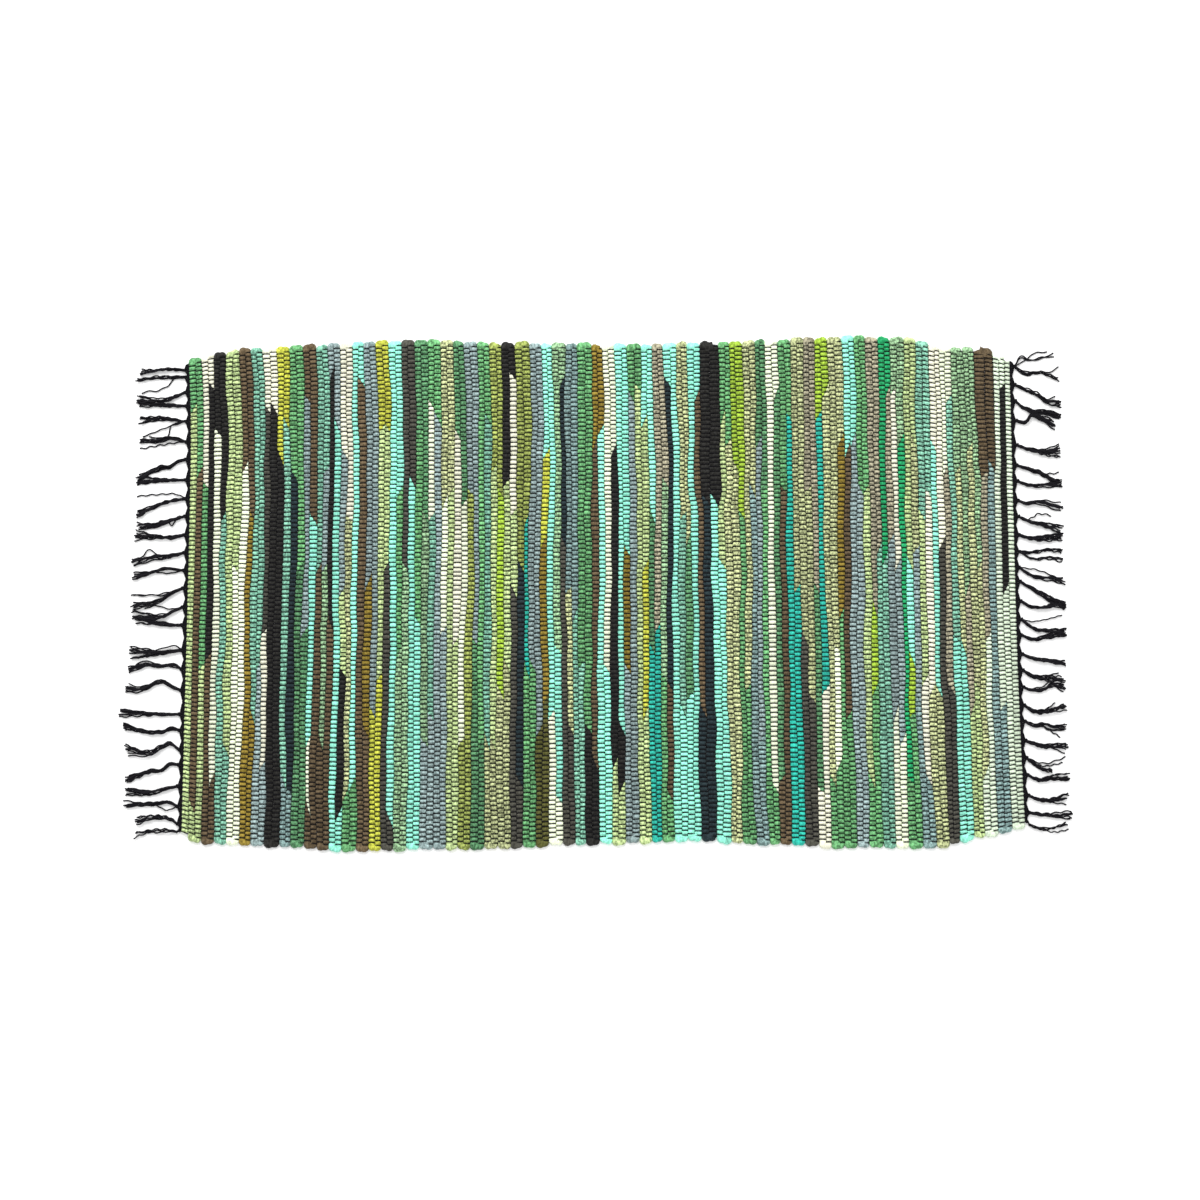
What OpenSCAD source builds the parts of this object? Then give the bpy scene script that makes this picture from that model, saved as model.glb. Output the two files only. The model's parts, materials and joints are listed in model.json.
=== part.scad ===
// Hand-woven rag bath mat: recycled-cotton rag strips on a black cotton warp,
// with a yarn heading and a knotted fringe at each end.
//
// Frame: +X along the mat, +Y across it from selvedge to selvedge, +Z up.
// The origin is the middle of the underside.

/* [Rag weft] */
// Distance along the mat from one pick of rag to the next
pick_pitch = 6.34; // [5:0.02:8]
// Thickness of the woven cloth
thick = 5; // [4:0.5:7]
// Gap left between one run of rag and the next
rag_gap = 0.2; // [0.1:0.02:0.2]

/* [Warp] */
// Number of warp groups, each ending in one knot at each end of the mat
groups = 27; // [12:1:40]
// Warp threads in one group
ends_per_group = 8; // [4:2:12]
// Distance across the mat from one warp thread to the next
warp_pitch = 2.3; // [2:0.02:4]
// Diameter of one black warp thread
warp_d = 0.9; // [0.6:0.1:0.9]
// Free height round a warp thread inside the rag
warp_play = 0.1; // [0.05:0.05:0.2]

/* [Ends of the mat] */
// Width of the black yarn heading beside the rag body
heading_w = 3; // [2:0.5:5]
// Length of the gathered warp between the heading and its knot
gather_l = 3; // [2:0.5:5]
// Length of one knot, along the mat
knot_l = 6; // [4:0.5:8]
// Length of a tassel beyond its knot
tassel_l = 46; // [20:2:90]
// Diameter of a tassel, a bundle of warp threads
tassel_d = 4.4; // [3:0.2:5]

/* [Hidden] */
$fn = 32;

// The weaver's order: the fabric of each rag strip, how many picks are woven
// when it runs out, and its width as a share of a full strip where it is thin.
order = [
    ["pistachio", 0.90], ["leaf", 1.24], ["brown", 1.94], ["pistachio", 2.35],
    ["leaf", 2.73], ["cream", 3.06], ["black", 3.63], ["brown", 4.12],
    ["ivory", 4.84], ["black", 5.34], ["seafoam", 6.18], ["pistachio", 7.45],
    ["ivory", 8.76], ["brown", 9.34], ["gold", 10.25], ["seafoam", 11.65],
    ["grey", 12.15], ["cream", 12.42], ["charcoal", 12.88], ["cream", 13.12],
    ["black", 14.78], ["lime", 15.15], ["seafoam", 15.88], ["slate", 16.10],
    ["navy", 16.74], ["leaf", 17.45], ["forest", 18.42], ["grey", 18.90],
    ["brown", 19.35], ["aqua", 19.80], ["ivory", 19.93, 0.6], ["brown", 20.55],
    ["seafoam", 21.25], ["grey", 21.45], ["sage", 21.80], ["brown", 22.44],
    ["black", 22.95, 0.6], ["grey", 23.16], ["aqua", 24.06], ["black", 24.34],
    ["pistachio", 24.50], ["grey", 24.78], ["cream", 25.35], ["khaki", 25.90],
    ["leaf", 26.12], ["aqua", 27.07], ["brown", 28.22], ["gold", 28.52],
    ["grey", 29.74], ["lime", 30.33], ["pistachio", 30.83], ["lime", 31.17],
    ["pistachio", 31.45], ["charcoal", 32.05], ["aqua", 33.30], ["leaf", 33.62],
    ["sage", 34.55], ["charcoal", 35.28], ["aqua", 36.44], ["leaf", 36.82],
    ["forest", 37.35], ["sage", 37.80], ["grey", 38.25], ["seafoam", 38.65],
    ["ivory", 38.88], ["leaf", 39.15], ["grey", 40.42], ["ivory", 40.68],
    ["khaki", 41.30], ["pistachio", 42.40], ["cream", 42.82], ["forest", 43.32],
    ["ivory", 43.80], ["moss", 44.70], ["grey", 45.60], ["forest", 46.20],
    ["leaf", 47.15], ["seafoam", 47.80], ["khaki", 48.20], ["pistachio", 48.75],
    ["moss", 49.30], ["bright_lime", 49.70], ["khaki", 50.35], ["pistachio", 50.72],
    ["black", 51.06], ["cream", 51.34], ["pistachio", 51.50], ["charcoal", 52.12],
    ["navy", 52.55], ["moss", 53.36], ["turquoise", 53.66, 0.7], ["leaf", 54.35],
    ["grey", 55.78], ["olive", 56.28], ["gold", 56.60], ["lime", 56.78],
    ["aqua", 57.75], ["ivory", 58.08], ["aqua", 58.38], ["sage", 59.07],
    ["navy", 59.40, 0.6], ["charcoal", 60.22], ["khaki", 60.50], ["slate", 61.55],
    ["seafoam", 62.35], ["leaf", 63.78], ["black", 64.15], ["brown", 64.80],
    ["gold", 65.17], ["aqua", 66.34], ["ivory", 67.21], ["black", 67.85],
    ["pistachio", 68.10], ["black", 68.22], ["aqua", 69.42], ["gold", 69.66],
    ["grey", 70.90], ["leaf", 71.08], ["pistachio", 72.25], ["lime", 72.55],
    ["pistachio", 72.85], ["aqua", 73.35], ["forest", 73.62], ["turquoise", 74.42],
    ["taupe", 75.28], ["sage", 75.68], ["leaf", 76.08], ["brown", 76.30],
    ["navy", 76.93], ["aqua", 78.25], ["seafoam", 78.65], ["khaki", 79.40],
    ["forest", 79.72], ["aqua", 81.10], ["brown", 81.75], ["navy", 82.68],
    ["black", 83.32], ["aqua", 84.55], ["pistachio", 84.85], ["leaf", 85.20],
    ["khaki", 86.75], ["bright_lime", 87.35], ["leaf", 88.30], ["khaki", 89.30],
    ["slate", 90.20], ["grey", 90.80], ["forest", 91.30], ["leaf", 92.10],
    ["ivory", 93.10], ["forest", 93.88], ["brown", 94.70], ["leaf", 95.15],
    ["turquoise", 96.50], ["khaki", 97.60], ["charcoal", 98.28], ["khaki", 98.70],
    ["taupe", 99.50], ["forest", 99.90], ["cream", 100.30], ["turquoise", 100.85],
    ["bright_lime", 101.10], ["khaki", 101.88], ["leaf", 102.15], ["ivory", 102.38],
    ["khaki", 103.20], ["gold", 103.55], ["leaf", 104.25], ["brown", 104.78],
    ["aqua", 105.20], ["grey", 106.70], ["leaf", 107.30], ["pistachio", 107.88],
    ["leaf", 108.30], ["bright_lime", 108.46], ["taupe", 109.42], ["seafoam", 110.56],
    ["emerald", 111.10], ["taupe", 111.40], ["grey", 111.75], ["ivory", 112.20],
    ["grey", 112.55], ["cream", 112.90], ["sage", 113.20], ["emerald", 113.88],
    ["leaf", 114.25], ["bright_lime", 114.36], ["aqua", 114.55], ["pistachio", 115.20],
    ["khaki", 115.42], ["grey", 115.72], ["slate", 116.12], ["cream", 116.32],
    ["pistachio", 116.65], ["seafoam", 117.30], ["cream", 117.70], ["khaki", 118.30],
    ["aqua", 118.80], ["cream", 119.40], ["charcoal", 120.30], ["taupe", 120.75],
    ["ivory", 121.10], ["seafoam", 121.60], ["aqua", 122.38], ["khaki", 122.75],
    ["sage", 123.50], ["taupe", 123.75], ["pistachio", 124.30], ["khaki", 124.80],
    ["sage", 125.45], ["khaki", 125.88], ["mint", 126.40], ["taupe", 126.74],
    ["brown", 127.24], ["slate", 128.25], ["mint", 129.06], ["black", 129.50],
    ["mint", 131]
];

// Each fabric's name and colour
fabrics = [
    ["black", "#1c1a18"], ["navy", "#16202c"], ["charcoal", "#3c342e"],
    ["brown", "#5f4632"], ["olive", "#55501c"], ["gold", "#96701c"],
    ["taupe", "#827664"], ["khaki", "#a5aa73"], ["moss", "#8c963c"],
    ["pistachio", "#bece82"], ["cream", "#ebe1cd"], ["ivory", "#ecf5cd"],
    ["lime", "#b9b92d"], ["bright_lime", "#aad728"], ["mint", "#c8e6c8"],
    ["sage", "#7fa57a"], ["leaf", "#50a55f"], ["forest", "#41784f"],
    ["emerald", "#14aa5f"], ["turquoise", "#1eaa96"], ["seafoam", "#6fb9a0"],
    ["aqua", "#7debcd"], ["slate", "#5f7d82"], ["grey", "#7d8c96"]
];

// Weft: one rag strip after another, laid to and fro across the warp
picks = order[len(order) - 1][1];
body_l = picks * pick_pitch;
strip_w = pick_pitch - rag_gap;
slot_h = warp_d + 2 * warp_play;
mid_z = thick / 2;
// A corner of the strip's eight-sided section, as a share of its half width and half height
corner_x = 0.6;
corner_z = 0.45;

// Warp: an even number of threads, with the last one just inside each selvedge turn
warps = groups * ends_per_group;
warp_edge = (warps - 1) * warp_pitch / 2;

// Where the rag turns, and the wall that closes a strip at its cut end, between two warps
turn_y = fine(warp_edge + warp_d);
end_wall = fine((warp_pitch - warp_d) / 4);

heading_x = body_l / 2 + rag_gap;
knot_x = heading_x + heading_w + gather_l;
knot_d = thick + 0.5;
knot_round = 0.6;
group_w = ends_per_group * warp_pitch;
group_gap = 0.6;

// Whole hundredths of a millimetre, so that pieces which meet share the very same plane
function fine(v) = round(100 * v) / 100;

// Middle of pick n along X, and the way the weaver laid it: odd picks go back
function pick_x(n) = (n + 0.5) * pick_pitch - body_l / 2;
function pick_way(n) = n % 2 == 0 ? 1 : -1;

// Where a strip's cut end lies across the mat: always halfway between two warps
function cut_y(n, f) = fine(round(pick_way(n) * (2 * f - 1) * turn_y / warp_pitch) * warp_pitch);

// The eight-sided section of a strip, w wide and as thick as the cloth, about a middle at (x, 0)
module strip_section(w, x = 0) {
    a = w / 2;
    b = mid_z;
    translate([x, 0])
        polygon([
            [-a, -b * corner_z], [-a * corner_x, -b], [a * corner_x, -b], [a, -b * corner_z],
            [a, b * corner_z], [a * corner_x, b], [-a * corner_x, b], [-a, b * corner_z]
        ]);
}

// A straight run of strip along Y, on pick n
module run(n, y0, y1, w) {
    translate([pick_x(n), y1, mid_z])
        rotate([90, 0, 0])
            linear_extrude(y1 - y0)
                strip_section(w);
}

// The half turn round the outermost warp, from pick n to the next
module turn(n, w) {
    mirror([0, pick_way(n) > 0 ? 0 : 1, 0])
        translate([pick_x(n) + pick_pitch / 2, turn_y, mid_z])
            rotate_extrude(angle = 180)
                strip_section(w, pick_pitch / 2);
}

// The slot that the warp threads run through, along one run
module slot(n, y0, y1) {
    translate([pick_x(n) - pick_pitch / 2, y0, mid_z - slot_h / 2])
        cube([pick_pitch, y1 - y0, slot_h]);
}

// The two ends of a strip's run on pick n, lower Y first. A cut end stands half a gap
// short of the line between two strips, and by extra more for the slot in it.
function run_ends(n, s0, s1, extra) =
    let (
        way = pick_way(n),
        short = rag_gap / 2 + extra,
        from = s0 > n ? cut_y(n, s0 - n) + way * short : -way * (turn_y - (n == 0 ? short : 0)),
        to = s1 < n + 1 ? cut_y(n, s1 - n) - way * short : way * (turn_y - (n == picks - 1 ? short : 0))
    )
    [min(from, to), max(from, to)];

// One rag strip, from s0 picks to s1 picks
module strip(s0, s1, w) {
    first = floor(s0);
    last = ceil(s1) - 1;
    difference() {
        union() {
            for (n = [first:last]) {
                ends = run_ends(n, s0, s1, 0);
                run(n, ends[0], ends[1], w);
            }
            for (n = [first:1:last - 1])
                turn(n, w);
        }
        for (n = [first:last]) {
            ends = run_ends(n, s0, s1, end_wall);
            slot(n, ends[0], ends[1]);
        }
    }
}

// Every strip of one fabric
module weft(fabric) {
    color(fabric[1])
        for (i = [0:len(order) - 1])
            if (order[i][0] == fabric[0])
                strip(
                    i == 0 ? 0 : order[i - 1][1],
                    order[i][1],
                    strip_w * (len(order[i]) > 2 ? order[i][2] : 1)
                );
}

// The warp: straight black threads, from the far side of one heading to the other
module warp_threads() {
    warp_l = 2 * (heading_x + heading_w);
    color("#141214")
        for (i = [0:warps - 1])
            translate([-warp_l / 2, i * warp_pitch - warp_edge, mid_z])
                rotate([0, 90, 0])
                    cylinder(h = warp_l, d = warp_d, $fn = 16);
}

// The heading: yarn packed against the last rag pick, above and below the warp
module heading(side) {
    heading_l = 2 * (warp_edge + warp_d);
    heading_h = thick - 1;
    middle = side * (heading_x + heading_w / 2);
    color("#121012")
        difference() {
            translate([middle - heading_w / 2, -heading_l / 2, mid_z - heading_h / 2])
                cube([heading_w, heading_l, heading_h]);
            translate([middle - heading_w, -heading_l / 2 + end_wall, mid_z - slot_h / 2])
                cube([2 * heading_w, heading_l - 2 * end_wall, slot_h]);
        }
}

module heading_left() heading(-1);

module heading_right() heading(1);

// One knot with the warp threads gathered into it, pointing along +X
module knot() {
    gather_w = group_w - group_gap;
    translate([heading_x + heading_w, 0, mid_z - warp_d])
        linear_extrude(2 * warp_d)
            polygon([
                [0, -gather_w / 2], [gather_l, -knot_d / 4], [gather_l, knot_d / 4], [0, gather_w / 2]
            ]);
    translate([knot_x, 0, knot_d / 2])
        rotate([0, 90, 0])
            rotate_extrude()
                polygon([
                    [0, 0], [knot_d / 2 - knot_round, 0], [knot_d / 2, knot_round],
                    [knot_d / 2, knot_l - knot_round], [knot_d / 2 - knot_round, knot_l], [0, knot_l]
                ]);
}

// One tassel: a bundle of warp threads lying on the floor, trimmed at its end
module tassel() {
    tip = 1;
    translate([knot_x + knot_l, 0, tassel_d / 2])
        rotate([0, 90, 0])
            rotate_extrude()
                polygon([
                    [0, 0], [tassel_d / 2, 0], [tassel_d / 2, tassel_l - tip],
                    [tassel_d / 2 - tip, tassel_l], [0, tassel_l]
                ]);
}

// Copies of one piece, one to each warp group
module each_group(side) {
    for (g = [0:groups - 1])
        translate([0, (g - (groups - 1) / 2) * group_w, 0])
            rotate([0, 0, side > 0 ? 0 : 180])
                children();
}

module knots_left() color("#161416") each_group(-1) knot();

module knots_right() color("#161416") each_group(1) knot();

module fringe_left() color("#1a181a") each_group(-1) tassel();

module fringe_right() color("#1a181a") each_group(1) tassel();

for (fabric = fabrics)
    weft(fabric);
warp_threads();
heading_left();
heading_right();
knots_left();
knots_right();
fringe_left();
fringe_right();
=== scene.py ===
import math
import json

import bmesh
import bpy
import numpy as np
from mathutils import Matrix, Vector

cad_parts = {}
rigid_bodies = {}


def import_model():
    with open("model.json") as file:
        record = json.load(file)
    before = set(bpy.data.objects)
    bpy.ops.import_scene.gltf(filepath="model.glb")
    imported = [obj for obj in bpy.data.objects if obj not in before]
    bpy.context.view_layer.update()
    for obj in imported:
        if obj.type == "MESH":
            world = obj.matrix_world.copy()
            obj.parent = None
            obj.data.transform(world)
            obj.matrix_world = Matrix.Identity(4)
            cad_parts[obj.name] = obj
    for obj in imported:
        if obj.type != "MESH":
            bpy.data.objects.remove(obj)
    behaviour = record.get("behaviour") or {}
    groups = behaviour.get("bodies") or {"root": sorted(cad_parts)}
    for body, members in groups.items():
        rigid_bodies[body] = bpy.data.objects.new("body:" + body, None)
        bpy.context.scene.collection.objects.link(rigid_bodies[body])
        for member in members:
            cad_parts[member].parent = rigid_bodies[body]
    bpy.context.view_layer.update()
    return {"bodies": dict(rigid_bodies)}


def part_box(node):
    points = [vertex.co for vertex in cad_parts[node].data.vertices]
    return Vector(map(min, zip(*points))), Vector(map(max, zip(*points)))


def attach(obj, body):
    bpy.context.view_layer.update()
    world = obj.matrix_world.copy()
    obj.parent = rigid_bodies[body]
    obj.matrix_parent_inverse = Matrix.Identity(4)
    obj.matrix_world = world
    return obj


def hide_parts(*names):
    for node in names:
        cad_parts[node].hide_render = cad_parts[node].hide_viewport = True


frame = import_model()
root = next(iter(frame["bodies"]))
mm = 0.001

# ---- The studio ---------------------------------------------------------------------------
# The mat lies on a seamless white floor. The camera stands almost straight above it, a little
# to the near side, under a large soft panel and a pale sky that fills the shadows.

camera = bpy.data.objects.new("camera", bpy.data.cameras.new("camera"))
bpy.context.scene.collection.objects.link(camera)
bpy.context.scene.camera = camera
camera_far = 2.0
camera_tilt = math.radians(7.2)
view_width = 1.2
aim_x, aim_y = -2 * mm, -9.5 * mm
camera.data.lens = camera.data.sensor_width * camera_far / view_width
camera.rotation_euler = (camera_tilt, 0, 0)
camera.location = (
    aim_x,
    aim_y - camera_far * math.sin(camera_tilt),
    camera_far * math.cos(camera_tilt),
)

floor_half = 6
bm = bmesh.new()
bmesh.ops.create_grid(bm, x_segments=1, y_segments=1, size=floor_half)
floor_mesh = bpy.data.meshes.new("floor")
bm.to_mesh(floor_mesh)
bm.free()
floor = bpy.data.objects.new("floor", floor_mesh)
bpy.context.scene.collection.objects.link(floor)
paper = bpy.data.materials.new("white_paper")
paper.use_nodes = True
sheet = paper.node_tree.nodes["Principled BSDF"]
sheet.inputs["Base Color"].default_value = (0.96, 0.96, 0.96, 1)
sheet.inputs["Roughness"].default_value = 0.9
floor.data.materials.append(paper)


def lamp(name, size, watts, place, turn):
    """A square soft panel that shines down its own -Z, turned by so many degrees."""
    panel = bpy.data.lights.new(name, "AREA")
    panel.size = size
    panel.energy = watts
    made = bpy.data.objects.new(name, panel)
    made.location = place
    made.rotation_euler = [math.radians(degrees) for degrees in turn]
    bpy.context.scene.collection.objects.link(made)


lamp("far_panel", size=2.0, watts=78, place=(-0.5, 2.0, 1.9), turn=(-46, -14, 0))
lamp("top_panel", size=1.2, watts=16, place=(0.3, -0.3, 2.4), turn=(7, 7, 0))
sky = bpy.data.worlds.new("sky")
sky.use_nodes = True
sky.node_tree.nodes["Background"].inputs["Color"].default_value = (1, 1, 1, 1)
sky.node_tree.nodes["Background"].inputs["Strength"].default_value = 0.72
bpy.context.scene.world = sky
bpy.context.scene.view_settings.view_transform = "Standard"

# ---- Rag weft -----------------------------------------------------------------------------
# Strips of cotton jersey, curled lengthways into soft tubes and beaten up close together. Each
# strip runs to and fro across the mat, over and under the warp, turns round the outermost warp
# thread, and laps its pointed end beside the start of the next strip.

# The weaver's order: the fabric of each strip, how many picks are woven when it runs out, and
# its width against the usual one where it is thin or thick.
order = [
    ("pistachio", 0.90), ("leaf", 1.24), ("brown", 1.94), ("pistachio", 2.35),
    ("leaf", 2.73), ("cream", 3.06), ("black", 3.63), ("brown", 4.12),
    ("ivory", 4.84), ("black", 5.34), ("seafoam", 6.18), ("pistachio", 7.45),
    ("ivory", 8.76), ("brown", 9.34), ("gold", 10.25), ("seafoam", 11.65),
    ("grey", 12.15), ("cream", 12.42), ("charcoal", 12.88), ("cream", 13.12),
    ("black", 14.78), ("lime", 15.15), ("seafoam", 15.88), ("slate", 16.10),
    ("navy", 16.74), ("leaf", 17.45), ("forest", 18.42), ("grey", 18.90),
    ("brown", 19.35), ("aqua", 19.80), ("ivory", 19.93, 0.6), ("brown", 20.55),
    ("seafoam", 21.25), ("grey", 21.45), ("sage", 21.80), ("brown", 22.44),
    ("black", 22.95, 0.6), ("grey", 23.16), ("aqua", 24.06), ("black", 24.34),
    ("pistachio", 24.50), ("grey", 24.78), ("cream", 25.35), ("khaki", 25.90),
    ("leaf", 26.12), ("aqua", 27.07), ("brown", 28.22), ("gold", 28.52),
    ("grey", 29.74), ("lime", 30.33), ("pistachio", 30.83), ("lime", 31.17),
    ("pistachio", 31.45), ("charcoal", 32.05), ("aqua", 33.30), ("leaf", 33.62),
    ("sage", 34.55), ("charcoal", 35.28), ("aqua", 36.44), ("leaf", 36.82),
    ("forest", 37.35), ("sage", 37.80), ("grey", 38.25), ("seafoam", 38.65),
    ("ivory", 38.88), ("leaf", 39.15), ("grey", 40.42), ("ivory", 40.68),
    ("khaki", 41.30), ("pistachio", 42.40), ("cream", 42.82), ("forest", 43.32),
    ("ivory", 43.80), ("moss", 44.70), ("grey", 45.60), ("forest", 46.20),
    ("leaf", 47.15), ("seafoam", 47.80), ("khaki", 48.20), ("pistachio", 48.75),
    ("moss", 49.30), ("bright_lime", 49.70), ("khaki", 50.35), ("pistachio", 50.72),
    ("black", 51.06, 1.3), ("cream", 51.34), ("pistachio", 51.50), ("charcoal", 52.12),
    ("navy", 52.55), ("moss", 53.36), ("turquoise", 53.66, 0.7), ("leaf", 54.35),
    ("grey", 55.78), ("olive", 56.28), ("gold", 56.60), ("lime", 56.78),
    ("aqua", 57.75), ("ivory", 58.08), ("aqua", 58.38), ("sage", 59.07),
    ("navy", 59.40, 0.6), ("charcoal", 60.22), ("khaki", 60.50), ("slate", 61.55),
    ("seafoam", 62.35), ("leaf", 63.78), ("black", 64.15), ("brown", 64.80),
    ("gold", 65.17), ("aqua", 66.34), ("ivory", 67.21), ("black", 67.85, 1.2),
    ("pistachio", 68.10), ("black", 68.22), ("aqua", 69.42), ("gold", 69.66),
    ("grey", 70.90), ("leaf", 71.08), ("pistachio", 72.25), ("lime", 72.55),
    ("pistachio", 72.85), ("aqua", 73.35), ("forest", 73.62), ("turquoise", 74.42),
    ("taupe", 75.28), ("sage", 75.68), ("leaf", 76.08), ("brown", 76.30),
    ("navy", 76.93), ("aqua", 78.25), ("seafoam", 78.65), ("khaki", 79.40),
    ("forest", 79.72), ("aqua", 81.10), ("brown", 81.75), ("navy", 82.68, 1.3),
    ("black", 83.32, 1.7), ("aqua", 84.55, 1.2), ("pistachio", 84.85), ("leaf", 85.20),
    ("khaki", 86.75), ("bright_lime", 87.35), ("leaf", 88.30), ("khaki", 89.30),
    ("slate", 90.20), ("grey", 90.80), ("forest", 91.30), ("leaf", 92.10),
    ("ivory", 93.10), ("forest", 93.88), ("brown", 94.70), ("leaf", 95.15),
    ("turquoise", 96.50), ("khaki", 97.60), ("charcoal", 98.28), ("khaki", 98.70),
    ("taupe", 99.50), ("forest", 99.90), ("cream", 100.30), ("turquoise", 100.85),
    ("bright_lime", 101.10), ("khaki", 101.88), ("leaf", 102.15), ("ivory", 102.38),
    ("khaki", 103.20), ("gold", 103.55), ("leaf", 104.25), ("brown", 104.78),
    ("aqua", 105.20), ("grey", 106.70), ("leaf", 107.30), ("pistachio", 107.88),
    ("leaf", 108.30), ("bright_lime", 108.46), ("taupe", 109.42), ("seafoam", 110.56),
    ("emerald", 111.10), ("taupe", 111.40), ("grey", 111.75), ("ivory", 112.20),
    ("grey", 112.55), ("cream", 112.90), ("sage", 113.20), ("emerald", 113.88),
    ("leaf", 114.25), ("bright_lime", 114.36), ("aqua", 114.55), ("pistachio", 115.20),
    ("khaki", 115.42), ("grey", 115.72), ("slate", 116.12), ("cream", 116.32),
    ("pistachio", 116.65), ("seafoam", 117.30), ("cream", 117.70), ("khaki", 118.30),
    ("aqua", 118.80), ("cream", 119.40), ("charcoal", 120.30), ("taupe", 120.75),
    ("ivory", 121.10), ("seafoam", 121.60), ("aqua", 122.38, 1.05), ("khaki", 122.75),
    ("sage", 123.50), ("taupe", 123.75), ("pistachio", 124.30), ("khaki", 124.80),
    ("sage", 125.45), ("khaki", 125.88), ("mint", 126.40), ("taupe", 126.74),
    ("brown", 127.24, 1.7), ("slate", 128.25), ("mint", 129.06), ("black", 129.50),
    ("mint", 131),
]

# Each fabric's colour, and how strongly it is flecked
fabrics = {
    "black": ("12110d", 0.25), "navy": ("12262b", 0.25), "charcoal": ("44433a", 0.3),
    "brown": ("5d4d34", 0.35), "olive": ("50501c", 0.3), "gold": ("84701f", 0.35),
    "taupe": ("9a957c", 0.55), "khaki": ("b0b884", 0.65), "moss": ("8c9a48", 0.55),
    "pistachio": ("b2c888", 0.5), "cream": ("e8e8d0", 0.15), "ivory": ("ecf6d6", 0.15),
    "lime": ("b8bc3c", 0.4), "bright_lime": ("9cc034", 0.4), "mint": ("dcedd2", 0.2),
    "sage": ("86ac80", 0.65), "leaf": ("62a468", 0.5), "forest": ("528a5c", 0.5),
    "emerald": ("16a060", 0.3), "turquoise": ("22b09c", 0.3), "seafoam": ("78b49a", 0.5),
    "aqua": ("92efd2", 0.25), "slate": ("7a9794", 0.5), "grey": ("8a9f9e", 0.45),
}

# The cloth: its picks and warp threads, and the stations across it, one at each warp thread and
# one midway to the next
picks = 131
warps = 216
body_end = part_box("heading_right")[0].x
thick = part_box("weft_leaf")[1].z
mid_z = thick / 2
half_way = 2 * (warps - 1)
stations = np.arange(half_way + 1)
across = stations / (warps - 1) - 1


def colour(code):
    """An sRGB code such as 7fa57a as linear red, green and blue."""
    parts = [int(code[i : i + 2], 16) / 255 for i in (0, 2, 4)]
    return [c / 12.92 if c <= 0.04045 else ((c + 0.055) / 1.055) ** 2.4 for c in parts]


def eased(x, points):
    """A smooth line through points, read at x."""
    px, py = np.array(points).T
    x = np.clip(x, px[0], px[-1])
    i = np.clip(np.searchsorted(px, x) - 1, 0, len(px) - 2)
    t = (x - px[i]) / (px[i + 1] - px[i])
    return py[i] + (py[i + 1] - py[i]) * t * t * (3 - 2 * t)


# The mat's two selvedges, which the weaver's pull on each turn of rag leaves a little uneven
far_edge = [
    (-0.42, 0.236), (-0.39, 0.243), (-0.36, 0.2485), (-0.19, 0.256), (-0.10, 0.254),
    (0.04, 0.2515), (0.12, 0.255), (0.26, 0.2600), (0.31, 0.2585), (0.345, 0.2495),
    (0.38, 0.2490), (0.42, 0.238),
]
near_edge = [
    (-0.42, -0.2435), (-0.395, -0.2515), (-0.32, -0.2545), (-0.25, -0.2585), (-0.12, -0.257),
    (-0.02, -0.2525), (0.09, -0.2490), (0.17, -0.2530), (0.25, -0.2560), (0.33, -0.2550),
    (0.375, -0.2460), (0.42, -0.2355),
]
# How far each turn of rag stands past the outermost warp thread
turn_reach = 5.6 * mm


def out_y(x, v):
    """Where a thread that is v across the cloth, from -1 to 1, lies at x along the mat."""
    high = eased(x, far_edge) - turn_reach
    low = eased(x, near_edge) + turn_reach
    return low + (high - low) * (v + 1) / 2


# How wide the rag lies in each pick, at each station. It goes by the strip that is there, and
# swells and thins slowly along the pick.
chance = np.random.default_rng(31)
cuts = np.array([0] + [strip[1] for strip in order], float)
way = np.where(np.arange(picks) % 2 == 0, 1, -1)
woven = np.arange(picks)[:, None] + 0.5 + way[:, None] * across[None, :] / 2
which = np.clip(np.searchsorted(cuts, woven, side="right") - 1, 0, len(order) - 1)
thickness = np.array([strip[2] if len(strip) > 2 else 1 for strip in order])
thickness = thickness * chance.uniform(0.88, 1.14, len(order))
width = thickness[which]
swell_size = 0.11
for waves in (1, 2, 3, 5, 8):
    swell = chance.normal(0, swell_size / waves**0.5, (picks, 1))
    phase = chance.uniform(0, 2 * math.pi, (picks, 1))
    width = width + swell * np.sin(math.pi * waves * across[None, :] + phase)
narrowest = 0.45
width = np.clip(width, narrowest, None)
blur_reach = 9
blur = np.hanning(2 * blur_reach + 3)[1:-1]
padded = np.pad(width, ((0, 0), (blur_reach, blur_reach)), mode="edge")
width = sum(padded[:, i : i + len(stations)] * b for i, b in enumerate(blur)) / blur.sum()

# The lines between the picks. Wide rag pushes its neighbours aside, but the beater evens that
# out over a few picks, and it fades towards both ends of the mat.
line = np.arange(picks + 1)[:, None]
drift = np.concatenate([np.zeros((1, len(stations))), np.cumsum(width, axis=0)])
drift = drift * picks / drift[-1] - line
settle = 7
padded = np.pad(drift, ((settle, settle), (0, 0)), mode="reflect")
drift = drift - sum(padded[i : i + picks + 1] for i in range(2 * settle + 1)) / (2 * settle + 1)
fade = 5
drift = drift * np.clip(np.minimum(line, picks - line) / fade, 0, 1)
right_inset, right_bow = 2.4 * mm, 3.4 * mm
left_inset, left_bow = 1.6 * mm, 5 * mm
right_end = body_end - right_inset + right_bow * np.clip(-across, 0, 1) ** 2
left_end = -body_end + left_inset - left_bow * np.clip(across, 0, 1) ** 4
lines = left_end + (right_end - left_end) * (line + drift) / picks
lane_left, lane_right = lines[:-1], lines[1:]


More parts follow.
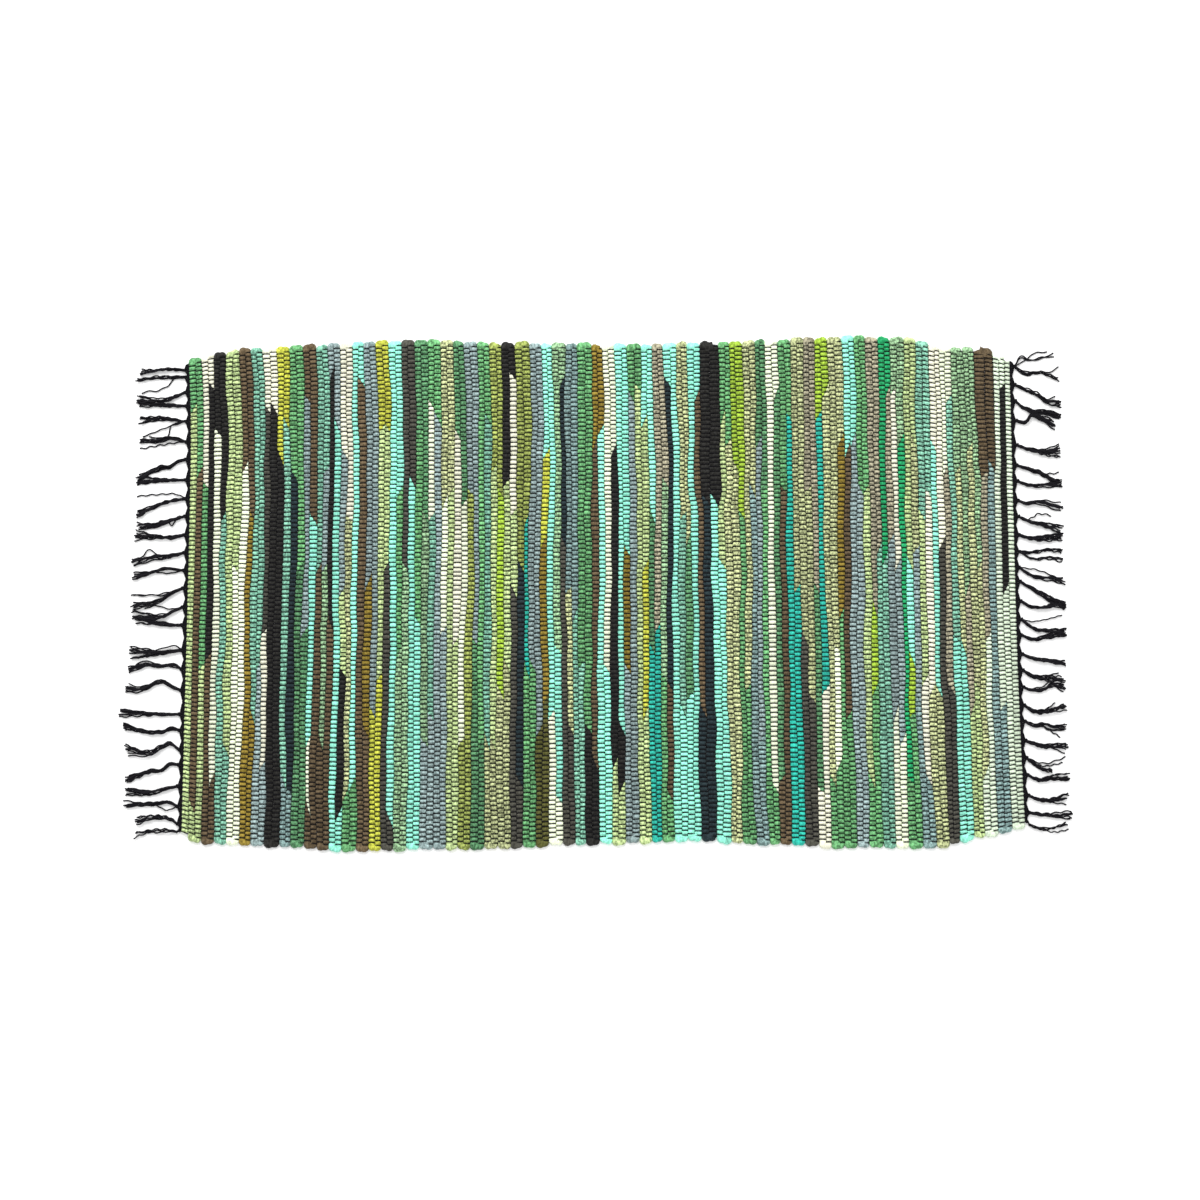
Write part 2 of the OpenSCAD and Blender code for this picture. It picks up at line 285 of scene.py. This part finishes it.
def sweep(path, half_width, half_height, sides, squareness=1.0, level=False):
    """Rings round a path, R by sides by 3, that lie across it, or upright where level is set."""
    tangent = np.gradient(path, axis=-2)
    if level:
        tangent[..., 2] = 0
    tangent /= np.maximum(np.linalg.norm(tangent, axis=-1, keepdims=True), 1e-12)
    aside = np.cross([0.0, 0.0, 1.0], tangent)
    aside /= np.maximum(np.linalg.norm(aside, axis=-1, keepdims=True), 1e-12)
    upward = np.cross(tangent, aside)
    angle = 2 * math.pi * np.arange(sides) / sides + math.pi / 2
    c = np.sign(np.cos(angle)) * np.abs(np.cos(angle)) ** squareness
    s = np.sign(np.sin(angle)) * np.abs(np.sin(angle)) ** squareness
    half_width = np.broadcast_to(half_width, path.shape[:-1])
    half_height = np.broadcast_to(half_height, path.shape[:-1])
    return (
        path[..., None, :]
        + (half_width[..., None] * c)[..., None] * aside[..., None, :]
        + (half_height[..., None] * s)[..., None] * upward[..., None, :]
    )


def tubes(name, rings, tint=0.5):
    """One piece of closed tubes. Each starts as a bmesh cylinder, cut across into rings, and
    each ring is then laid where rings[tube, ring, side] says."""
    count, long, sides, _ = rings.shape
    apart = 4
    bm = bmesh.new()
    for t in range(count):
        bmesh.ops.create_cone(
            bm, cap_ends=True, segments=sides, radius1=1, radius2=1, depth=long - 1,
            matrix=Matrix.Translation((apart * t, 0, (long - 1) / 2)),
        )
    lengthways = [e for e in bm.edges if abs(e.verts[0].co.z - e.verts[1].co.z) > 0.5]
    bmesh.ops.subdivide_edges(bm, edges=lengthways, cuts=long - 2)
    mesh = bpy.data.meshes.new(name)
    bm.to_mesh(mesh)
    bm.free()
    at = np.empty(len(mesh.vertices) * 3)
    mesh.vertices.foreach_get("co", at)
    at = at.reshape(-1, 3)
    tube = np.round(at[:, 0] / apart).astype(int)
    ring = np.round(at[:, 2]).astype(int)
    turned = np.arctan2(at[:, 1], at[:, 0] - apart * tube) - math.pi / 2
    side = np.round(turned * sides / (2 * math.pi)).astype(int) % sides
    mesh.vertices.foreach_set("co", rings[tube, ring, side].ravel())
    mesh.attributes.new("tint", "FLOAT", "POINT")
    tints = np.broadcast_to(tint, (count, long))[tube, ring].astype(np.float32)
    mesh.attributes["tint"].data.foreach_set("value", tints)
    mesh.shade_smooth()
    mesh.update()
    piece = bpy.data.objects.new(name, mesh)
    bpy.context.scene.collection.objects.link(piece)
    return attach(piece, root)


def jersey(name, code, fleck):
    """Cotton jersey: flecked yarn, slow changes of shade along the strip, and fine creases."""
    material = bpy.data.materials.new(name)
    material.use_nodes = True
    nodes, links = material.node_tree.nodes, material.node_tree.links
    cloth = nodes["Principled BSDF"]
    cloth.inputs["Roughness"].default_value = 0.88
    cloth.inputs["Specular IOR Level"].default_value = 0.25
    cloth.inputs["Sheen Weight"].default_value = 0.05
    cloth.inputs["Sheen Roughness"].default_value = 0.6
    place = nodes.new("ShaderNodeTexCoord")

    def noise(scale, detail, stretch):
        drawn_out = nodes.new("ShaderNodeMapping")
        drawn_out.inputs["Scale"].default_value = stretch
        links.new(place.outputs["Object"], drawn_out.inputs["Vector"])
        grain = nodes.new("ShaderNodeTexNoise")
        grain.inputs["Scale"].default_value = scale
        grain.inputs["Detail"].default_value = detail
        links.new(drawn_out.outputs["Vector"], grain.inputs["Vector"])
        return grain.outputs["Fac"]

    # Darker and lighter yarn, mixed in short flecks
    base = np.array(colour(code))
    yarns = nodes.new("ShaderNodeMix")
    yarns.data_type = "RGBA"
    yarns.inputs[6].default_value = (*np.clip(base * (1 - 0.9 * fleck), 0, 1), 1)
    yarns.inputs[7].default_value = (*np.clip(base * (1 + 0.75 * fleck) + 0.05 * fleck, 0, 1), 1)
    edge = nodes.new("ShaderNodeMapRange")
    edge.inputs["From Min"].default_value = 0.4
    edge.inputs["From Max"].default_value = 0.6
    links.new(noise(520, 6, (1, 0.7, 1)), edge.inputs["Value"])
    links.new(edge.outputs["Result"], yarns.inputs[0])

    # The shade that the mesh's tint gives from place to place
    shade = nodes.new("ShaderNodeHueSaturation")
    links.new(yarns.outputs[2], shade.inputs["Color"])
    tint = nodes.new("ShaderNodeAttribute")
    tint.attribute_name = "tint"
    value = nodes.new("ShaderNodeMapRange")
    value.inputs["To Min"].default_value = 0.72
    value.inputs["To Max"].default_value = 1.28
    links.new(tint.outputs["Fac"], value.inputs["Value"])
    links.new(value.outputs["Result"], shade.inputs["Value"])
    links.new(shade.outputs["Color"], cloth.inputs["Base Color"])

    # Small creases, and over them the ribs of the knit
    creases = nodes.new("ShaderNodeBump")
    creases.inputs["Strength"].default_value = 0.5
    creases.inputs["Distance"].default_value = 0.4 * mm
    links.new(noise(1100, 3, (1, 0.35, 1)), creases.inputs["Height"])
    ribs = nodes.new("ShaderNodeTexWave")
    ribs.bands_direction = "X"
    ribs.inputs["Scale"].default_value = 380
    ribs.inputs["Distortion"].default_value = 2.5
    ribs.inputs["Detail Scale"].default_value = 1.5
    links.new(place.outputs["Object"], ribs.inputs["Vector"])
    knit = nodes.new("ShaderNodeBump")
    knit.inputs["Strength"].default_value = 0.35
    knit.inputs["Distance"].default_value = 0.2 * mm
    links.new(ribs.outputs["Fac"], knit.inputs["Height"])
    links.new(creases.outputs["Normal"], knit.inputs["Normal"])
    links.new(knit.outputs["Normal"], cloth.inputs["Normal"])
    return material


jerseys = {name: jersey("jersey_" + name, *fabric) for name, fabric in fabrics.items()}

# Height of the rag's upper and lower side at each crossing, from the middle of the cloth: where
# it swells between two warp threads, beside one, and under one. The thread of warp j lies over
# pick n where j + n is even.
crown = thick / 2
flank = 2.1 * mm
dent = 0.6 * mm
warp_here = stations % 2 == 0
thread_over = (stations[None, :] // 2 + np.arange(picks)[:, None]) % 2 == 0
upper = np.where(warp_here[None, :], np.where(thread_over, dent, crown), flank)
lower = -np.where(warp_here[None, :], np.where(thread_over, crown, dent), flank)
upper = upper * chance.uniform(0.84, 1.0, upper.shape)

# How much of its lane the rag fills, and how far it strays along the pick
plump = chance.uniform(0.92, 1.1, upper.shape)
plump = plump * np.where(warp_here[None, :] & thread_over, 0.92, 1.02)
long_sway, short_sway = 0.45 * mm, 0.1 * mm
sway = np.convolve(chance.normal(0, long_sway, upper.size), blur / blur.sum(), "same")
sway = 2.2 * sway.reshape(upper.shape) + chance.normal(0, short_sway, upper.shape)

lap_length = chance.uniform(4, 11, len(order) + 1)
leans = chance.choice([-1, 1], len(order) + 1)


def smooth(t):
    t = np.clip(t, 0, 1)
    return t * t * (3 - 2 * t)


def lap(cut, other, most):
    """Length of the lap at a cut, in stations. It is shorter where the cut is close to a turn or
    to the strip's other cut."""
    done = cut - math.floor(cut)
    to_turn = min(done, 1 - done) * half_way if 0 < done < 1 else 0
    return max(2.0, min(most, to_turn - 1, 0.4 * abs(cut - other) * half_way))


def lane(n, k, before, after, before_left, after_left):
    """Left and right side of what a strip takes of pick n at stations k. The strips before and
    after it have their shares, before and after, each on the left or the right."""
    left, right = lane_left[n, k], lane_right[n, k]
    room = right - left
    for taken, on_left in ((before, before_left), (after, after_left)):
        if on_left:
            left = left + room * taken
        else:
            right = right - room * taken
    return left, right


turn_rings = 11


def turn(here, n, k):
    """Rings of the rag's turn from here, at the end of pick n, round the outermost warp thread on
    an oval to the next pick. k is the station there."""
    x_next = (lane_left[n + 1, k] + lane_right[n + 1, k]) / 2
    w_next = (lane_right[n + 1, k] - lane_left[n + 1, k]) / 2
    a = math.pi * (np.arange(turn_rings) + 1) / (turn_rings + 1)
    bulge = np.sin(a)
    centre, radius = (here[0] + x_next) / 2, abs(x_next - here[0]) / 2
    x = centre - radius * np.sign(np.cos(a)) * np.abs(np.cos(a)) ** 0.7
    half = here[3] * (1 + np.cos(a)) / 2 + w_next * (1 - np.cos(a)) / 2
    half = half * (1 + chance.uniform(-0.05, 0.12) * bulge + 0.25 * np.abs(np.sin(2 * a)))
    reach = turn_reach + chance.uniform(-1.2, 1.4) * mm - 0.9 * half.mean()
    lean = chance.uniform(-0.7, 0.7) * mm * np.sin(2 * a)
    y = out_y(x, across[k]) + way[n] * (bulge**0.5 * reach + lean)
    tall = 2.1 * mm + chance.uniform(0, 0.4) * mm * bulge
    return np.stack([x, y, np.full(turn_rings, mid_z), half, tall], axis=1)


# Each strip in its turn: the middle, half width and half height of the rag at each station that
# it passes, and its turns, made into one tube
number = {}
for i, (fabric, *_) in enumerate(order):
    number[fabric] = number.get(fabric, 0) + 1
    start, end = cuts[i], cuts[i + 1]
    opens, closes = i > 0, i < len(order) - 1
    lap_in = lap(start, end, lap_length[i])
    lap_out = lap(end, start, lap_length[i + 1])
    if opens:
        lap_in = min(lap_in, lap(start, cuts[i - 1], 99))
    if closes:
        lap_out = min(lap_out, lap(end, cuts[i + 2], 99))
    first, last = int(math.floor(start)), int(math.ceil(end)) - 1
    stretches = []
    for n in range(first, last + 1):
        k = stations if way[n] > 0 else stations[::-1]
        done = (n + stations / half_way) * half_way
        keep = np.ones(len(k), bool)
        if opens and n == first:
            keep &= done > start * half_way - 0.75 * lap_in
        if closes and n == last:
            keep &= done < end * half_way + 0.75 * lap_out
        k, done = k[keep], done[keep]
        before = after = np.zeros(len(k))
        if opens:
            before = 1 - smooth((done - start * half_way) / (2 * lap_in) + 0.5)
        if closes:
            after = smooth((done - end * half_way) / (2 * lap_out) + 0.5)
        left, right = lane(n, k, before, after, leans[i] > 0, leans[i + 1] < 0)
        share = np.clip((right - left) / (lane_right[n, k] - lane_left[n, k]), 0.05, 1)
        low = smooth(share / 0.5) ** 0.5
        top, foot = upper[n, k] * low, lower[n, k] * low
        x = (left + right) / 2
        y = out_y(x, across[k]) + sway[n, k]
        half = (right - left) / 2 * plump[n, k]
        stretches.append(np.stack([x, y, mid_z + (top + foot) / 2, half, (top - foot) / 2], axis=1))
        if n < last:
            stretches.append(turn(stretches[-1][-1], n, k[-1]))
    table = np.concatenate(stretches)
    rings = sweep(table[:, :3], table[:, 3], table[:, 4], 8, 0.82, level=True)
    slow = np.linspace(0, (end - start) * 6, len(table))
    tint = 0.5 + 0.15 * np.sin(slow + chance.uniform(0, 6)) + chance.uniform(-0.2, 0.2)
    tint = tint + chance.uniform(-0.25, 0.25, len(table) // 2 + 1).repeat(2)[: len(table)]
    strip = tubes(f"{fabric}_strip_{number[fabric]:02d}", rings[None], tint[None])
    strip.data.materials.append(jerseys[fabric])
    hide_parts("weft_" + fabric)

# ---- Warp ---------------------------------------------------------------------------------
# Black cotton threads that run the length of the mat, over one pick of rag and under the next,
# and show as short dark dashes. Past the headings they gather, about eight at a time, into knots.

black = bpy.data.materials.new("black_cotton")
black.use_nodes = True
nodes, links = black.node_tree.nodes, black.node_tree.links
yarn = nodes["Principled BSDF"]
yarn.inputs["Roughness"].default_value = 0.8
yarn.inputs["Specular IOR Level"].default_value = 0.15
place = nodes.new("ShaderNodeTexCoord")
aslant = nodes.new("ShaderNodeMapping")
aslant.inputs["Rotation"].default_value = (0, 0, math.radians(50))
twist = nodes.new("ShaderNodeTexWave")
twist.inputs["Scale"].default_value = 300
twist.inputs["Distortion"].default_value = 1.5
furrow = nodes.new("ShaderNodeBump")
furrow.inputs["Strength"].default_value = 0.7
furrow.inputs["Distance"].default_value = 0.3 * mm
# Painted shade: the black yarn is a little darker in the furrows of its twist and lighter on its
# ridges, following the same waves as the bump
painted_twist_shade = nodes.new("ShaderNodeMix")
painted_twist_shade.data_type = "RGBA"
painted_twist_shade.inputs[6].default_value = (*colour("08070a"), 1)
painted_twist_shade.inputs[7].default_value = (*colour("17151c"), 1)
links.new(place.outputs["Object"], aslant.inputs["Vector"])
links.new(aslant.outputs["Vector"], twist.inputs["Vector"])
links.new(twist.outputs["Fac"], furrow.inputs["Height"])
# The twist's waves also set the colour, as painted shade in the furrows
links.new(twist.outputs["Fac"], painted_twist_shade.inputs[0])
links.new(painted_twist_shade.outputs[2], yarn.inputs["Base Color"])
links.new(furrow.outputs["Normal"], yarn.inputs["Normal"])

# How the tassels were left lying, in millimetres. They come here because the threads gather
# towards their knots. Each knot has its place across the mat, the way its bundle runs (how far
# out, how far to the far side), how wide it fans at the tip, and then the strands that strayed.
left_tassels = [
    (225, [(19, 1), (45, -2)], 1, []),
    (218, [(25, -1), (50, -3)], 2, [[(9, -1), (21, -11), (46, -15)]]),
    (202, [(21, -8), (49, -7)], 2, []),
    (188, [(25, 1), (49, 2)], 2, []),
    (172, [(26, 3), (48, 1)], 2, [[(14, -3), (19, -14), (37, -12)], [(20, -6), (44, -16)]]),
    (151, [(15, 4), (31, 1), (48, 1)], 2, [[(30, -2), (48, -4)]]),
    (133, [(9, -2), (15, -7), (26, -8), (35, -13), (47, -20)], 2, [[(20, -8), (47, -14)]]),
    (112, [(25, 0), (50, -1)], 2, [[(30, -2), (50, -6)]]),
    (93, [(18, -3), (32, -9), (49, -18)], 2, [[(8, 4), (28, 5), (50, 5)]]),
    (75, [(14, -4), (28, -9), (48, -11)], 2, [[(8, -1), (13, -9), (20, -4), (40, -9)]]),
    (56, [(14, -3), (28, -2), (50, 0)], 3, [[(30, -3), (51, -4)]]),
    (38, [(15, -4), (30, -6), (52, -12)], 4,
     [[(25, -3), (38, 2), (41, -4), (52, -8)], [(18, -2), (35, -3), (50, -11)]]),
    (20, [(18, 2), (35, -2), (51, -5)], 3, [[(14, -3), (30, -1), (50, 0)]]),
    (2, [(14, -6), (22, -11), (52, -17)], 2,
     [[(14, -4), (30, -6), (52, -5)], [(10, -2), (18, -6), (34, -5), (51, -4)]]),
    (-17, [(10, -4), (18, -8), (52, -7)], 2, [[(12, -2), (30, 1), (40, -3)]]),
    (-35, [(10, 0), (30, 3), (49, 7)], 2, []),
    (-60, [(13, -2), (34, -3), (52, -3)], 4, [[(6, 4), (14, 3), (30, -1), (50, -2)]]),
    (-79, [(5, 4), (19, 3), (37, 4), (53, 0)], 2, [[(20, 4), (43, 9), (50, 3)]]),
    (-100, [(8, 3), (20, 9), (34, 3), (42, 1), (55, 3)], 2, []),
    (-124, [(18, 0), (36, 1), (60, 3)], 5, []),
    (-140, [(8, 3), (16, -1), (26, -2), (42, 0), (58, 5)], 2, [[(20, -1), (40, -2), (56, -2)]]),
    (-159, [(10, 6), (18, 2), (26, -3), (53, 0)], 4, []),
    (-174, [(8, 1), (16, -5), (28, -6), (52, -13)], 2, []),
    (-195, [(14, -3), (24, -6), (52, -5)], 2, []),
    (-215, [(8, 4), (24, 3), (53, 3)], 2, [[(11, -4), (20, 0), (40, 2)]]),
    (-232, [(6, 4), (16, 6), (28, 6), (42, 4)], 2, []),
    (-240, [(6, 1), (24, 0), (42, -4)], 3, []),
]
right_tassels = [
    (229, [(13, -9), (25, -7), (35, -11), (45, -16)], 2,
     [[(9, 11), (15, 7), (27, 8), (40, 13)], [(9, 9), (15, 6), (28, 9), (42, 8)],
      [(14, 8), (21, 14), (36, 16)], [(20, -7), (37, -6), (45, -2)]]),
    (210, [(13, -6), (23, -11), (33, -19), (46, -20)], 2, [[(20, -9), (31, -14), (43, -9)]]),
    (193, [(11, -8), (19, -11), (29, -11), (46, -16)], 2, []),
    (173, [(10, -2), (16, 5), (28, 2), (40, -5)], 2, []),
    (148, [(17, -6), (31, -9), (44, -9)], 7, []),
    (127, [(16, -5), (28, -10), (36, -16), (45, -18)], 2, [[(15, -5), (30, -8), (43, -7)]]),
    (111, [(12, -4), (26, -4), (45, -2)], 2, []),
    (91, [(9, -3), (21, -1), (35, -4), (45, -6)], 2, []),
    (75, [(11, -5), (25, -8), (45, -14)], 2, [[(12, -3), (21, 3), (36, 4)]]),
    (56, [(11, -3), (45, -1)], 1, []),
    (39, [(14, -1), (30, 1), (44, 0)], 2, [[(14, -7), (30, -6), (44, -9)]] * 3),
    (23, [(10, -7), (20, -10), (34, -12), (45, -15)], 2, [[(18, -3), (30, -8), (40, -14)]]),
    (9, [(14, -8), (24, -14), (45, -23)], 2, []),
    (-11, [(12, -6), (26, -6), (38, -3), (45, -5)], 2, []),
    (-29, [(7, -5), (15, -10), (27, -12), (45, -14)], 2, [[(11, -3), (21, -2), (42, 2)]]),
    (-45, [(11, -4), (25, -2), (45, 1)], 2, []),
    (-64, [(10, -4), (24, -6), (44, -8)], 2, []),
    (-80, [(10, -6), (24, -8), (41, -10)], 2, [[(12, -5), (25, -5), (36, -3)]]),
    (-97, [(10, -3), (21, -2), (31, 3), (42, 0)], 5, []),
    (-115, [(9, -6), (17, -7), (27, -5), (42, -1)], 2, [[(17, -6), (27, -2), (33, 2)]]),
    (-131, [(8, -4), (20, -4), (28, -7), (42, -7)], 3, [[(20, -5), (37, -13)]]),
    (-150, [(12, -4), (42, -5)], 2, [[(30, -6), (40, -9)]]),
    (-167, [(8, -6), (16, -12), (26, -14)], 3, [[(16, -6), (39, -3)], [(14, -7), (38, -5)]]),
    (-184, [(13, -5), (23, -3), (42, -2)], 2, []),
    (-204, [(9, -4), (21, -5), (40, -1)], 3, [[(20, -6), (37, -8)]] * 2),
    (-221, [(13, -2), (43, -3)], 2, []),
    (-233, [(9, -3), (21, -4), (38, -1)], 2, []),
]

warp_j = np.arange(warps)
at_warp = 2 * warp_j
v = across[at_warp]
thread_half = 0.66 * mm
thread_tall = 0.95 * mm
thread_top = 1.7 * mm
thread_foot = -2.0 * mm
float_half = 0.3
middle = ((lane_left + lane_right) / 2)[:, at_warp]
room = (lane_right - lane_left)[:, at_warp]
body_run = np.empty((picks + picks // 2 + 1, warps, 3))
for odd in (0, 1):
    # A thread floats over a pick on two rings, and dips under the next on one
    stops = []
    for n in range(picks):
        if (n + odd) % 2 == 0:
            stops += [(n, -float_half, thread_top), (n, float_half, thread_top)]
        elif n == 0:
            stops += [(n, -float_half, thread_foot), (n, float_half, thread_foot)]
        else:
            stops.append((n, 0, thread_foot))
    n, offset, height = (np.array(column) for column in zip(*stops))
    js = warp_j[odd::2]
    x = middle[n][:, js] + offset[:, None] * room[n][:, js]
    y = out_y(x, v[js]) + sway[n][:, at_warp[js]]
    z = np.broadcast_to(mid_z + height[:, None], x.shape)
    body_run[:, js] = np.stack([x, y, z], axis=-1)

# From the last rag pick a thread crosses the shots of the heading, and then runs to the knot
# that lies nearest to it
shots = 3
shot_pitch = 0.85 * mm
first_shot = 0.6 * mm
heading_width = first_shot + shots * shot_pitch
thread_dip = 0.6 * mm
knot_out = 4.7 * mm
knot_z = 2.1 * mm
warp_over = np.where((warp_j[None, :] + np.arange(picks)[:, None]) % 2 == 0, 1, -1)
ends = {
    "left": (-1, lines[0, at_warp], warp_over[0], left_tassels),
    "right": (1, lines[-1, at_warp], warp_over[-1], right_tassels),
}
end_runs, knots_at, groups = {}, {}, {}
for side, (sign, end_x, over, lying) in ends.items():
    knot_y = np.array([knot[0] for knot in lying]) * mm
    thread_y = out_y(end_x, v)
    group = np.abs(thread_y[:, None] - knot_y[None, :]).argmin(axis=1)
    edge_x = end_x + sign * heading_width
    knot_x = np.array([edge_x[group == g].mean() for g in range(len(lying))])
    knot_x = knot_x + sign * (knot_out - first_shot - shots * shot_pitch)
    run = []
    for s in range(shots):
        x = end_x + sign * (first_shot + s * shot_pitch)
        run.append(np.stack([x, thread_y, mid_z - thread_dip * over * (-1) ** s], axis=-1))
    toward = knot_y[group] + 0.1 * (thread_y - knot_y[group])
    y = thread_y * 0.8 + toward * 0.2
    run.append(np.stack([edge_x - sign * 0.1 * mm, y, np.full(warps, mid_z)], axis=-1))
    run.append(np.stack([knot_x[group], toward, np.full(warps, knot_z)], axis=-1))
    end_runs[side] = np.array(run)
    knots_at[side] = list(zip(knot_x, knot_y))
    groups[side] = [int((group == g).sum()) for g in range(len(lying))]

# All the threads, in three pieces so that none is too heavy: the middle of the mat and its edges
paths = np.concatenate([end_runs["left"][::-1], body_run, end_runs["right"]]).transpose(1, 0, 2)
edge_threads = 30
warp_rings = sweep(paths, thread_half, thread_tall, 3)
warp = tubes("warp_middle", warp_rings[edge_threads : warps - edge_threads])
warp_far = tubes("warp_far_edge", warp_rings[warps - edge_threads :])
warp_near = tubes("warp_near_edge", warp_rings[:edge_threads])
for piece in (warp, warp_far, warp_near):
    piece.data.materials.append(black)
    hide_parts("warp_threads")

# ---- Headings -----------------------------------------------------------------------------
# At each end one black cotton yarn is woven across three times, close together, to lock the
# last strip of rag. It turns round the outermost warp thread, as the rag does.

shot_rise = 0.5 * mm
turn_out, turn_in = 1.3 * 0.8 * mm, 0.1 * mm
for side, (sign, end_x, over, _) in ends.items():
    path = []
    for s in range(shots):
        x = end_x + sign * (first_shot + s * shot_pitch)
        z = mid_z + shot_rise * over * (-1) ** s
        shot = np.stack([x, out_y(end_x, v), z], axis=-1)
        path.append(shot if s % 2 == 0 else shot[::-1])
        if s < shots - 1:
            tip = path[-1][-1]
            beyond = math.copysign(turn_out, tip[1])
            path.append(tip + [
                [sign * turn_in, beyond, 0],
                [sign * (shot_pitch - turn_in), beyond, 0],
            ])
    rings = sweep(np.concatenate(path), 0.5 * mm, 0.55 * mm, 6, level=True)
    heading = tubes("heading_yarn_" + side, rings[None])
    heading.data.materials.append(black)
    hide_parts("heading_" + side)

# ---- Knots --------------------------------------------------------------------------------
# Each group of warp threads is tied as one cord in an overhand knot, pulled down close to the
# heading. It is a trefoil of three plies that twist round each other.

knot_rings = 34
knot_plies = 3
ply_gap, ply_half = 0.42, 0.5
for side in ends:
    for g, (x, y) in enumerate(knots_at[side]):
        size = (np.clip(groups[side][g], 3, 11) / 8) ** 0.4
        t = np.linspace(0.25, 2 * math.pi - 0.25, knot_rings) + chance.uniform(0, 6.28)
        loop = np.stack([
            0.62 * (np.sin(t) + 2 * np.sin(2 * t)),
            0.56 * (np.cos(t) - 2 * np.cos(2 * t)),
            -0.62 * np.sin(3 * t),
        ], axis=-1) * size * mm
        plies = []
        for p in range(knot_plies):
            a = 2 * math.pi * p / knot_plies + 1.5 * t
            off = np.stack([np.cos(a) * np.cos(t), np.cos(a) * np.sin(t), np.sin(a)], axis=-1)
            plies.append(loop + ply_gap * size * mm * off + [x, y, knot_z + 0.2 * mm])
        rings = sweep(np.array(plies), ply_half * mm * size, ply_half * mm * size, 5)
        knot = tubes(f"knot_{side}_{g + 1:02d}", rings)
        knot.data.materials.append(black)
        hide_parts("knots_" + side)

# ---- Tassels ------------------------------------------------------------------------------
# Beyond its knot each group of threads hangs loose, about five centimetres long. The threads
# cling together, kink where they came out of the knot, and part towards their cut tips.


def curve_through(points, count):
    """A smooth line through a few points, as count points evenly along it."""
    points = np.array(points, float)
    t = np.concatenate([[0], np.cumsum(np.linalg.norm(np.diff(points, axis=0), axis=1))])
    slope = np.gradient(points, t, axis=0)
    u = np.linspace(0, t[-1], count)
    i = np.clip(np.searchsorted(t, u, side="right") - 1, 0, len(t) - 2)
    step = (t[i + 1] - t[i])[:, None]
    w = (u - t[i])[:, None] / step
    return (
        points[i] * (1 + 2 * w) * (1 - w) ** 2 + slope[i] * step * w * (1 - w) ** 2
        + points[i + 1] * w**2 * (3 - 2 * w) + slope[i + 1] * step * w**2 * (w - 1)
    )


fewest = 4
strand_rings = 24
strand_r = 0.76 * mm
u = np.linspace(0, 1, strand_rings)
from_knot = np.clip(4 * u, 0, 1)
for side, (sign, _, _, lying) in ends.items():
    for g, (_, bundle, fan, strays) in enumerate(lying):
        knot_x, knot_y = knots_at[side][g]
        count = max(fewest, groups[side][g])
        strands = []
        for k in range(count):
            stray = k < len(strays)
            path = curve_through([(0, 0)] + (strays[k] if stray else bundle), strand_rings)
            out, aside = path.T * mm
            # The strand winds loosely about the bundle, and lies on the floor or on the others
            turned = 2 * math.pi * k / count + 3.0 * u * chance.uniform(0.5, 1.4)
            turned = turned + chance.uniform(0, 1)
            loose = (0.35 if stray else 1.0) * chance.uniform(0.9, 2.1) * mm
            aside = aside + loose * np.cos(turned) * np.clip(0.5 + u, 0, 1)
            height = strand_r + 0.9 * loose * (1 + np.sin(turned)) * np.clip(1.3 - u * 0.7, 0, 1)
            # It fans out to its tip, and keeps small crimps from the weave
            aside = aside + chance.uniform(-1, 1) * (fan + 1.5) * mm * u**2
            waves = chance.uniform(3, 6)
            crimp = chance.uniform(0.25, 0.85) * mm
            shift = chance.uniform(0, 6)
            aside = aside + crimp * np.sin(waves * 2 * math.pi * u + shift) * from_knot
            out = out * chance.uniform(0.94, 1.02)
            out = out + chance.uniform(0.1, 0.3) * mm * np.sin(waves * 7 * u)
            height = np.maximum(height * from_knot + knot_z * (1 - from_knot), strand_r)
            strands.append(np.stack([knot_x + sign * out, knot_y + aside, height], axis=-1))
        rings = sweep(np.array(strands), strand_r, strand_r, 6)
        tassel = tubes(f"tassel_{side}_{g + 1:02d}", rings)
        tassel.data.materials.append(black)
        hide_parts("fringe_" + side)
